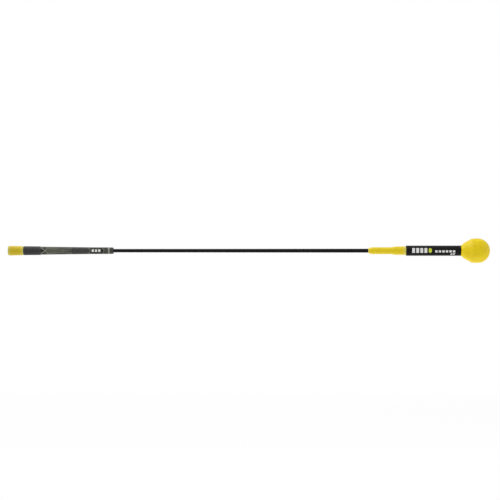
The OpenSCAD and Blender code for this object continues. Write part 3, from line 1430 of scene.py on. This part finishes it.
    def press_in(self) -> None:
        """Presses the marked pattern into the rolled sheet, the wide grounds first."""
        sheet = self.sheet
        grounds = (GripMark.DARK, GripMark.KNURL, GripMark.LINE, GripMark.TICK)
        sheet.press_marked(self.ground_depth, *grounds)
        sheet.press_marked(self.line_depth, GripMark.LINE)
        sheet.press_marked(-self.tick_rise, GripMark.TICK)
        sheet.press_marked(self.ring_groove_depth, GripMark.GROOVE)
        cell_width = math.tau * self.front_radius / sheet.columns
        pits = [
            f
            for f in sheet.marked(GripMark.KNURL)
            if len(f.verts) == 4
            and f.calc_area() > self.whole_cell * cell_width * self.knurl_pitch
            and self.is_pit(f.calc_center_median())
        ]
        bmesh.ops.inset_individual(
            sheet.bm,
            faces=pits,
            thickness=self.pit_margin,
            depth=-self.pit_depth,
            use_even_offset=True,
        )

    def is_pit(self, place: Vector) -> bool:
        """Tells whether the cell round a place of the rolled sheet is one that has a pit."""
        column = math.atan2(place.z, -place.y) / math.tau * self.sheet.columns
        start = next(start for start, end in self.knurl_fields if start < place.x < end)
        row = (place.x - start) / self.knurl_pitch
        return (math.floor(column) + math.floor(row)) % 2 == 0

    def dress(self) -> None:
        """Dresses the grip in its rubbers, its line paint and its ink."""
        self.coat(
            GRIP_FINISH, DARK_FINISH, LINE_FINISH, KNURL_FINISH, TICK_FINISH, DARK_FINISH
        )


@dataclass
class InlaidRing(SubAssembly):
    """The thin pale ring let into the grip near its mouth."""

    inner_radius: float = 7.86
    crown: float = 0.12
    edge_rounding: float = 0.25

    def build(self) -> None:
        """Turns the ring with a crowned outside."""
        ring = reach("grip_ring")
        edge = ring.radius - self.crown
        corners = [
            Corner(ring.start, self.inner_radius),
            Corner(ring.start, edge, self.edge_rounding),
            Corner((ring.start + ring.end) / 2, ring.radius),
            Corner(ring.end, edge, self.edge_rounding),
            Corner(ring.end, self.inner_radius),
        ]
        piece = settle("pale_ring", turn(corners))
        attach(piece, "grip")
        self.note(piece, "ring_inlay", "grip_ring")

    def dress(self) -> None:
        """Dresses the ring in pale nylon."""
        self.coat(RING_FINISH)


@dataclass
class Rod(SubAssembly):
    """The black glass-fibre rod.

    It is one rod, made here in one length for each body. At each hinge a length ends in a dome
    that turns in the next length's cup, so that the rod looks whole at every bend.
    """

    end_break: float = 1.0
    # How much smaller the dome is than the rod, and how thick the cup's rim is
    dome_step: float = 0.08
    rim: float = 0.04
    # The dome reaches back past the place that the rim comes to, and then rises to the rod
    rim_room: float = 0.12
    rise_length: float = 0.3
    dome_steps: int = 16
    # Read from the frame in build(): the free length's two ends and its radius at each
    mouth: float = field(init=False)
    neck: float = field(init=False)
    slim: float = field(init=False)
    thick: float = field(init=False)

    def build(self) -> None:
        """Turns every length and sets it on its body."""
        joints = frame["joints"]
        bodies = [joints[0]["parent"], *(j["child"] for j in joints)]
        hinges = [j["pos_m"][0] / MM for j in joints]
        bends = [math.radians(j["range_deg"][1]) for j in joints]
        self.mouth, self.neck = reach("grip_body").end, reach("neck").start
        self.slim = cad_radius("rod_butt", self.mouth)
        self.thick = reach("rod_tip").radius
        backs = [self.butt_end(), *(self.cup(x) for x in hinges)]
        fronts = [*map(self.dome, hinges, bends), self.tip_end()]
        for i, (body, back, front) in enumerate(zip(bodies, backs, fronts)):
            bm = turn([*back, *front], ROD_STEPS, on_axis=True)
            piece = settle(f"rod_length_{i + 1:02d}", bm)
            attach(piece, body)
            nodes = frame["record"]["behaviour"]["bodies"][body]
            self.note(piece, "rod_gloss", *(n for n in nodes if n.startswith("rod_")))

    def radius_at(self, x: float) -> float:
        """Gives the rod's radius at a place on its free length."""
        return self.slim + (self.thick - self.slim) * (x - self.mouth) / (self.neck - self.mouth)

    def round_end(self, x: float, radius: float, back: float = 0.0) -> list[Corner]:
        """Lists the corners of a ball's outline, from the axis in front of its middle.

        Args:
            x: Place of the ball's middle.
            radius: The ball's radius.
            back: How far behind its middle the outline ends.

        Returns:
            The corners, in order.
        """
        last = math.pi / 2 + math.asin(back / radius)
        angles = [last * i / self.dome_steps for i in range(self.dome_steps + 1)]
        return [Corner(x + radius * math.cos(a), radius * math.sin(a)) for a in angles]

    def cup(self, x: float) -> list[Corner]:
        """Lists the corners of the cup that starts a length, from the axis out."""
        radius = self.radius_at(x)
        return [*self.round_end(x, radius - self.rim), Corner(x, radius)]

    def dome(self, x: float, bend: float) -> list[Corner]:
        """Lists the corners of the dome that ends a length, from the outside to the axis.

        Args:
            x: Place of the hinge.
            bend: The hinge's largest bend, in radians.

        Returns:
            The corners, in order.
        """
        radius = self.radius_at(x)
        back = radius * math.sin(bend) + self.rim_room
        rise = x - back - self.rise_length
        dome = self.round_end(x, radius - self.dome_step, back)
        return [Corner(rise, self.radius_at(rise)), *reversed(dome)]

    def butt_end(self) -> list[Corner]:
        """Lists the corners of the end inside the grip, from the axis out."""
        butt = reach("rod_butt").start
        return [
            Corner(butt, 0.0),
            Corner(butt, self.slim - self.end_break),
            Corner(butt + self.end_break, self.slim),
            Corner(self.mouth, self.slim),
        ]

    def tip_end(self) -> list[Corner]:
        """Lists the corners of the end that reaches through the weight, to the axis."""
        tip = reach("rod_tip").end
        return [
            Corner(self.neck, self.thick),
            Corner(tip - self.end_break, self.thick),
            Corner(tip, self.thick - self.end_break),
            Corner(tip, 0.0),
        ]

    def dress(self) -> None:
        """Dresses the rod in black resin."""
        self.coat(ROD_FINISH)


@dataclass
class Neck(SubAssembly):
    """The yellow neck, which grips the rod with its nose and covers the weight's spigot."""

    nose_radius: float = 6.05
    nose_length: float = 8.7
    nose_rounding: float = 0.35
    shoulder_length: float = 6.3
    thick_length: float = 29.8
    shoulder_rounding: float = 1.6
    back_rounding: float = 0.6
    groove_width: float = 0.9
    groove_depth: float = 0.3
    socket_depth: float = 23.45
    socket_radius: float = 7.3
    rod_bore_radius: float = 5.05
    parting_height: float = 0.07
    parting_margin: float = 1.0

    def build(self) -> None:
        """Turns the neck and raises its parting line."""
        neck = reach("neck")
        nose_end = neck.start + self.nose_length
        shoulder_end = neck.end - self.thick_length
        slim_end = shoulder_end - self.shoulder_length
        socket_start = neck.end - self.socket_depth
        slim = cad_radius("neck", slim_end)
        thick = cad_radius("neck", shoulder_end)
        back = cad_radius("neck", neck.end - self.back_rounding)
        groove = nose_end + self.groove_width
        corners = [
            Corner(neck.start, self.nose_radius, self.nose_rounding),
            Corner(nose_end, slim, SOFT_ROUNDING),
            Corner(nose_end + self.groove_width / 2, slim - self.groove_depth),
            Corner(groove, slim, FINE_ROUNDING),
            Corner(slim_end, slim, self.shoulder_rounding),
            Corner(shoulder_end, thick, self.shoulder_rounding),
            Corner(neck.end, back, self.back_rounding),
            Corner(neck.end, self.socket_radius),
            Corner(socket_start, self.socket_radius),
            Corner(socket_start, self.rod_bore_radius),
            Corner(neck.start, self.rod_bore_radius),
        ]
        bm = turn(corners)
        parting_end = neck.end - self.parting_margin
        raise_parting_line(bm, groove, parting_end, self.socket_radius, self.parting_height)
        piece = settle("neck_shell", bm)
        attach(piece, "head")
        self.note(piece, "neck_plastic", "neck")

    def dress(self) -> None:
        """Dresses the neck in yellow vinyl."""
        self.coat(NECK_FINISH)


@dataclass
class Sleeve(SubAssembly):
    """The black sleeve over the weight, with bars and dashes printed on the side facing -Y."""

    wall: float = 0.85
    lip_radius: float = 9.15
    lip_thickness: float = 0.8
    rim_steps: int = 5
    pitch: float = 5.0
    ink_rise: float = 0.05
    # Broad bars, the bright dot, and the row of dashes: places from the sleeve's start
    bars_start: float = 14.9
    bar_count: int = 4
    bar_pitch: float = 10.3
    bar_width: float = 7.0
    bars: tuple[float, float] = (-5.6, 6.8)
    bright_start: float = 56.6
    bright_width: float = 7.8
    bright_cut: float = 2.6
    dashes_start: float = 73.0
    dash_count: int = 6
    dash_pitch: float = 8.9
    dash_width: float = 6.0
    dashes: tuple[float, float] = (-4.6, 0.9)
    # Two slanted marks under the last dashes
    slants_start: float = 111.0
    slant_count: int = 2
    slant_pitch: float = 6.2
    slant_width: float = 4.2
    slant_lean: float = 2.2
    slants: tuple[float, float] = (-11.6, -7.2)

    def build(self) -> None:
        """Marks the sheet out, rolls it, raises the ink and closes it with its two lips."""
        sleeve = reach("sleeve")
        start, end = sleeve.start + self.wall, sleeve.end - self.wall
        sheet = RolledSheet(start, end, sleeve.radius, spaced(start, end, self.pitch))
        marks = self.print_marks(sleeve.start)
        sheet.cut(marks)
        sheet.mark_patches(marks)
        sheet.roll(lambda _: sleeve.radius)
        sheet.press_marked(-self.ink_rise, SleeveMark.WHITE_INK)
        sheet.press_marked(-self.ink_rise, SleeveMark.BRIGHT_INK)
        sheet.close(self.rim(sleeve, start, -1.0), self.rim(sleeve, end, 1.0))
        sheet.number_materials()
        piece = settle("sleeve_shell", sheet.bm)
        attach(piece, "head")
        self.note(piece, "sleeve_plastic", "sleeve")

    def print_marks(self, start: float) -> list[Patch]:
        """Lists the printed bars, the bright dot, the dashes and the slanted marks.

        Args:
            start: Where the sleeve starts along the stick.

        Returns:
            The patches of ink on the flat sheet.
        """
        foot, top = self.bars
        marks = []
        for i in range(self.bar_count):
            x = start + self.bars_start + self.bar_pitch * i
            marks.append(bar(x, x + self.bar_width, foot, top, SleeveMark.WHITE_INK))
        low, high = start + self.bright_start, start + self.bright_start + self.bright_width
        cut = self.bright_cut
        outline = (
            (low + cut, foot),
            (high - cut, foot),
            (high, foot + cut),
            (high, top - cut),
            (high - cut, top),
            (low + cut, top),
            (low, top - cut),
            (low, foot + cut),
        )
        marks.append(Patch(outline, SleeveMark.BRIGHT_INK))
        for i in range(self.dash_count):
            x = start + self.dashes_start + self.dash_pitch * i
            marks.append(bar(x, x + self.dash_width, *self.dashes, SleeveMark.WHITE_INK))
        foot, top = self.slants
        for i in range(self.slant_count):
            x = start + self.slants_start + self.slant_pitch * i
            far, lean = x + self.slant_width, self.slant_lean
            outline = ((x, foot), (far, foot), (far + lean, top), (x + lean, top))
            marks.append(Patch(outline, SleeveMark.WHITE_INK))
        return marks

    def rim(self, sleeve: Reach, edge: float, outward: float) -> list[Corner]:
        """Lists the corners from the sheet's edge round its rim and back along its lip.

        Args:
            sleeve: Where the sleeve lies.
            edge: Where the sheet ends along the stick.
            outward: -1 at the start of the sleeve and 1 at its end.

        Returns:
            The corners, in order.
        """
        inner = sleeve.radius - self.wall
        angles = [math.pi / 2 * (i + 1) / self.rim_steps for i in range(self.rim_steps)]
        round_edge = [
            Corner(edge + outward * self.wall * math.sin(a), inner + self.wall * math.cos(a))
            for a in angles
        ]
        face = edge + outward * self.wall
        back = face - outward * self.lip_thickness
        return [
            *round_edge,
            Corner(face, self.lip_radius),
            Corner(back, self.lip_radius),
            Corner(back, inner),
        ]

    def dress(self) -> None:
        """Dresses the sleeve in black vinyl and its inks."""
        self.coat(SLEEVE_FINISH, WHITE_INK, BRIGHT_INK)


@dataclass
class Ball(SubAssembly):
    """The soft yellow ball, with a cone towards the sleeve and a barbed socket."""

    collar_length: float = 3.2
    collar_rounding: float = 0.6
    flare_length: float = 4.0
    flare_radius: float = 19.4
    flare_rounding: float = 1.4
    # From the crease to its middle the ball follows a long ellipse
    crease_setback: float = 15.1
    crease_drop: float = 0.7
    crease_rounding: float = 0.5
    ellipse_steps: int = 8
    sphere_steps: int = 30
    # Socket for the weight's barbed tail, and the pocket for the rod's tip
    socket_radius: float = 7.55
    barb_height: float = 1.2
    barb_count: int = 4
    barb_start: float = 3.17
    barb_pitch: float = 8.75
    barb_flat: float = 2.29
    barb_length: float = 4.48
    socket_depth: float = 33.9
    pocket_depth: float = 35.45
    pocket_radius: float = 5.05
    parting_height: float = 0.1
    # How far the parting line stays off the flare's start and off the ball's far end
    parting_margins: tuple[float, float] = (5.0, 3.0)

    def build(self) -> None:
        """Turns the ball and raises its parting line."""
        ball = reach("ball")
        collar = cad_radius("ball", ball.start + self.collar_length, within=0.1)
        # The parting line stands out to the ball's full radius
        radius, centre = ball.radius - self.parting_height, ball.end - ball.radius
        crease = centre - self.crease_setback
        sag = 1.0 - self.crease_drop / radius
        half_length = self.crease_setback / math.sqrt(1.0 - sag * sag)
        back = arc(centre, half_length, radius, crease, centre, self.ellipse_steps)
        sphere = arc(centre, ball.radius, radius, centre, ball.end, self.sphere_steps)
        flare = ball.start + self.collar_length
        outside = [
            Corner(ball.start, collar, self.collar_rounding),
            Corner(flare, collar, self.flare_rounding),
            Corner(flare + self.flare_length, self.flare_radius, self.flare_rounding),
            Corner(back[0].x, back[0].radius, self.crease_rounding),
            *back[1:],
            *sphere[1:],
        ]
        bm = turn([*self.socket(ball.start), *outside], on_axis=True)
        start, end = flare + self.parting_margins[0], ball.end - self.parting_margins[1]
        raise_parting_line(bm, start, end, collar, self.parting_height)
        piece = settle("ball_shell", bm)
        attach(piece, "head")
        self.note(piece, "ball_vinyl", "ball")

    def socket(self, face: float) -> list[Corner]:
        """Lists the corners of the socket, from its bottom on the axis out to the ball's face.

        Args:
            face: Place of the ball's face along the stick.

        Returns:
            The corners, in order.
        """
        bottom, pocket = face + self.socket_depth, face + self.pocket_depth
        corners = [
            Corner(pocket, 0.0),
            Corner(pocket, self.pocket_radius),
            Corner(bottom, self.pocket_radius),
            Corner(bottom, self.socket_radius),
        ]
        for i in reversed(range(self.barb_count)):
            start = face + self.barb_start + self.barb_pitch * i
            barb = self.socket_radius + self.barb_height
            corners += [
                Corner(start + self.barb_length, self.socket_radius),
                Corner(start + self.barb_flat, barb),
                Corner(start, barb),
                Corner(start, self.socket_radius),
            ]
        return [*corners, Corner(face, self.socket_radius)]

    def dress(self) -> None:
        """Dresses the ball in soft yellow vinyl."""
        self.coat(BALL_FINISH)


@dataclass
class InnerParts(SubAssembly):
    """The sealed pieces, which keep their CAD shapes and get their own finishes."""

    finishes: dict[str, Finish] = field(
        default_factory=lambda: {
            "grip_tape": TAPE_FINISH,
            "buildup_sleeve": BUILD_UP_FINISH,
            "weight": WEIGHT_FINISH,
            "cross_pins": PIN_FINISH,
        }
    )

    def build(self) -> None:
        """Notes the CAD nodes, whose shapes stay as they are."""
        self.pieces.extend(frame["nodes"][node] for node in self.finishes)

    def dress(self) -> None:
        """Puts a finish in each node's material slot."""
        for node, finish in self.finishes.items():
            frame["nodes"][node].material_slots[0].material = finish.build()


# ---------------------------------------------------------------- studio


class Light(Enum):
    """The lamps: where each stands from the stick's middle in metres, its size and its power."""

    TOP = ((-0.5, -0.1, 1.5), (2.6, 1.6), 28.0)
    BELOW = ((0.0, 0.1, -1.5), (2.6, 1.6), 24.0)
    RIGHT = ((2.4, -0.4, 0.5), (1.2, 1.2), 9.0)

    def __init__(
        self,
        place: tuple[float, float, float],
        size: tuple[float, float],
        power: float,
    ) -> None:
        """Keeps the lamp's place, size and power in watts."""
        self.place = place
        self.size = size
        self.power = power


@dataclass
class Studio:
    """The pale floor, the soft light and the camera."""

    floor_size: float = 14.0
    floor_grey: str = "f2f2f2"
    # The floor lies this far below the ball, out of its reach when the rod bends all the way down
    floor_drop: float = 0.39
    ambient: float = 0.41
    # How far the floor is lifted to white where the camera sees it, at the stick and far off
    whitening: tuple[float, float] = (0.93, 1.0)
    # Between these distances from the stick's line the lift grows, in metres
    whitening_reach: tuple[float, float] = (0.25, 1.1)
    camera_distance: float = 5.0
    camera_height: float = 0.0017
    # Half of the picture's width at the stick
    half_width: float = 0.6327
    # Middle of the picture, beyond the object's own middle along the stick
    framing: float = 0.0024
    # Read from the frame in build(): the stick's middle, and the height of the floor
    middle: float = field(init=False)
    ground: float = field(init=False)

    def build(self) -> None:
        """Builds the whole studio."""
        self.middle = (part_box("butt_cap")[0].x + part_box("ball")[1].x) / 2
        self.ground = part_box("ball")[0].z - self.floor_drop
        self.build_floor()
        self.build_world()
        for light in Light:
            self.build_lamp(light)
        self.build_camera()
        bpy.context.scene.view_settings.view_transform = "Standard"

    def seen(self, tree: NodeTree) -> Socket:
        """Makes a factor that is 1 for what the camera sees directly, mirrored or through glass.

        Args:
            tree: Node tree that gets the nodes.

        Returns:
            The factor's socket.
        """
        path = add_node(tree, "ShaderNodeLightPath").outputs
        seen = path["Is Camera Ray"]
        for ray in ("Is Glossy Ray", "Is Transmission Ray"):
            inputs = {0: seen, 1: path[ray]}
            seen = add_node(tree, "ShaderNodeMath", inputs, operation="MAXIMUM").outputs[0]
        return seen

    def build_floor(self) -> None:
        """Builds the floor, which is near white, keeps the shadow, and is clear from below.

        It also lets the lamp below it light the stick, as a glass table does.
        """
        bm = bmesh.new()
        bmesh.ops.create_grid(bm, x_segments=1, y_segments=1, size=self.floor_size / 2)
        bmesh.ops.translate(bm, vec=(self.middle, 0.0, self.ground), verts=bm.verts)
        mesh = bpy.data.meshes.new("floor")
        bm.to_mesh(mesh)
        bm.free()
        floor = bpy.data.objects.new("floor", mesh)
        bpy.context.scene.collection.objects.link(floor)
        material = bpy.data.materials.new("studio_paper_white")
        material.use_nodes = True
        tree = material.node_tree
        tree.nodes.clear()
        paper = add_node(tree, "ShaderNodeBsdfDiffuse", {"Color": srgb(self.floor_grey)})
        white = add_node(tree, "ShaderNodeEmission", {"Strength": 1.0})
        lift = add_node(
            tree,
            "ShaderNodeMath",
            {0: self.seen(tree), 1: self.whiteness(tree)},
            operation="MULTIPLY",
        ).outputs[0]
        shaders = {0: lift, 1: paper.outputs[0], 2: white.outputs[0]}
        top = add_node(tree, "ShaderNodeMixShader", shaders)
        behind = add_node(tree, "ShaderNodeNewGeometry").outputs["Backfacing"]
        shadow = add_node(tree, "ShaderNodeLightPath").outputs["Is Shadow Ray"]
        below = add_node(
            tree, "ShaderNodeMath", {0: behind, 1: shadow}, operation="MAXIMUM"
        ).outputs[0]
        clear = add_node(tree, "ShaderNodeBsdfTransparent").outputs[0]
        both = add_node(tree, "ShaderNodeMixShader", {0: below, 1: top.outputs[0], 2: clear})
        add_node(tree, "ShaderNodeOutputMaterial", {"Surface": both.outputs[0]})
        mesh.materials.append(material)

    def whiteness(self, tree: NodeTree) -> Socket:
        """Adds how far the floor is lifted to white: least at the stick, where its shadow lies.

        Args:
            tree: The floor material's node tree.

        Returns:
            The share's socket.
        """
        place = add_node(tree, "ShaderNodeTexCoord").outputs["Object"]
        across = add_node(tree, "ShaderNodeSeparateXYZ", {"Vector": place}).outputs["Y"]
        distance = add_node(tree, "ShaderNodeMath", {0: across}, operation="ABSOLUTE").outputs[0]
        inputs = {
            RangeSocket.VALUE: distance,
            RangeSocket.FROM_MIN: self.whitening_reach[0],
            RangeSocket.FROM_MAX: self.whitening_reach[1],
            RangeSocket.TO_MIN: self.whitening[0],
            RangeSocket.TO_MAX: self.whitening[1],
        }
        node = add_node(tree, "ShaderNodeMapRange", inputs, interpolation_type="SMOOTHSTEP")
        return node.outputs["Result"]

    def build_world(self) -> None:
        """Builds the world: a soft even light that the camera sees as white."""
        world = bpy.data.worlds.new("studio")
        bpy.context.scene.world = world
        world.use_nodes = True
        tree = world.node_tree
        tree.nodes.clear()
        strength = add_node(
            tree,
            "ShaderNodeMapRange",
            {RangeSocket.VALUE: self.seen(tree), RangeSocket.TO_MIN: self.ambient},
        ).outputs["Result"]
        sky = add_node(tree, "ShaderNodeBackground", {"Strength": strength})
        sky.inputs["Color"].default_value = srgb("ffffff")
        add_node(tree, "ShaderNodeOutputWorld", {"Surface": sky.outputs[0]})

    def build_lamp(self, light: Light) -> None:
        """Hangs one soft lamp, which looks at the stick's middle."""
        lamp = bpy.data.lights.new(light.name.lower(), type="AREA")
        lamp.shape = "RECTANGLE"
        lamp.size, lamp.size_y = light.size
        lamp.energy = light.power
        obj = bpy.data.objects.new(light.name.lower(), lamp)
        bpy.context.scene.collection.objects.link(obj)
        offset = Vector(light.place)
        obj.location = Vector((self.middle, 0.0, 0.0)) + offset
        obj.rotation_euler = offset.to_track_quat("Z", "Y").to_euler()

    def build_camera(self) -> None:
        """Sets the camera up square to the stick."""
        data = bpy.data.cameras.new("camera")
        data.lens = data.sensor_width / 2 * self.camera_distance / self.half_width
        camera = bpy.data.objects.new("camera", data)
        bpy.context.scene.collection.objects.link(camera)
        camera.location = (self.middle + self.framing, -self.camera_distance, self.camera_height)
        camera.rotation_euler = (math.pi / 2, 0.0, 0.0)
        bpy.context.scene.camera = camera


# ---------------------------------------------------------------- the whole stick


def main() -> None:
    """Builds the studio and every sub-assembly, from the butt to the ball."""
    logging.basicConfig(level=logging.INFO, format="%(name)s: %(message)s")
    Studio().build()
    stick = (
        ButtCap(),
        Collar(),
        GripBody(),
        InlaidRing(),
        Rod(),
        Neck(),
        Sleeve(),
        Ball(),
        InnerParts(),
    )
    for part in stick:
        part.build()
        part.dress()
        part.report()


if __name__ == "__main__":
    main()
